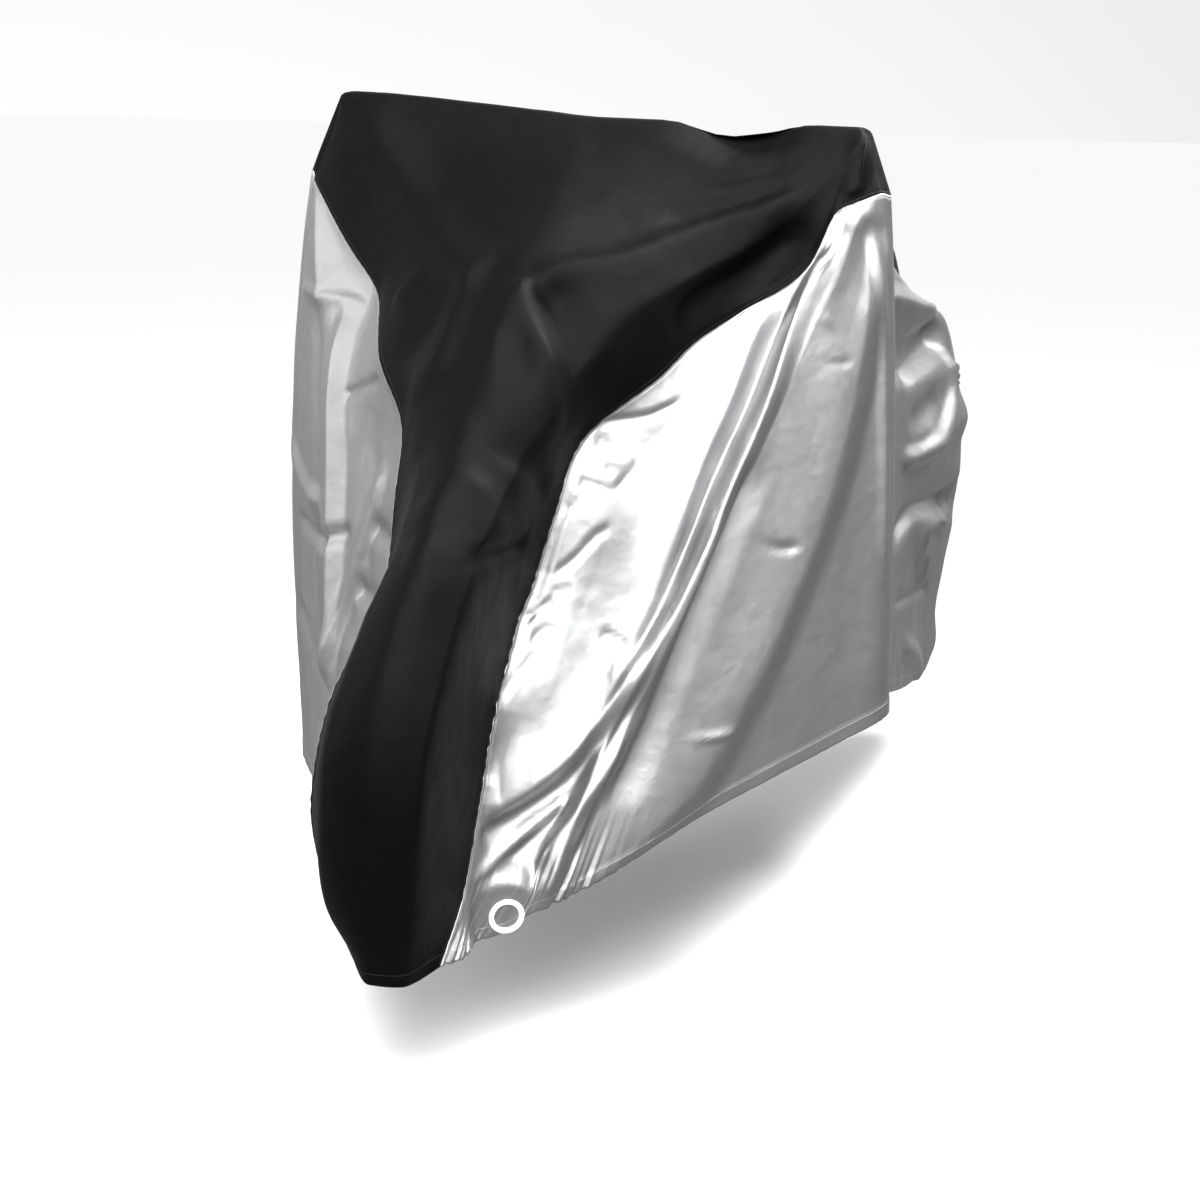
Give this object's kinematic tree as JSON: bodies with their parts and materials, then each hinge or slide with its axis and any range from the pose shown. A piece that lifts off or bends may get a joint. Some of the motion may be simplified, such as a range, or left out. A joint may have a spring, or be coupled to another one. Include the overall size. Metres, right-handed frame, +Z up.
{
  "type": "bicycle cover",
  "caption": "Fitted cloth cover hanging over a parked bicycle: black centre panel, silver side panels, gathered front hem with ring eyelets, hollow and open below.",
  "frame": {"origin": "middle of the handlebar, under the top of the cover", "axes": "+X forward along the bicycle, +Y to its left, +Z up"},
  "size_m": [1.6917, 0.7101, 0.898],
  "materials": {
    "black_polyester": "smooth coated cloth, matt to satin",
    "silver_polyester": "silver coated cloth, satin",
    "white_plastic": "smooth, half gloss"
  },
  "bodies": {
    "root": {"panel_black": "black_polyester", "panel_silver_left": "silver_polyester", "panel_silver_right": "silver_polyester", "eyelet_strip_left": "silver_polyester", "eyelet_strip_right": "silver_polyester", "eyelet_ring_left": "white_plastic", "eyelet_ring_right": "white_plastic"}
  },
  "joints": []
}
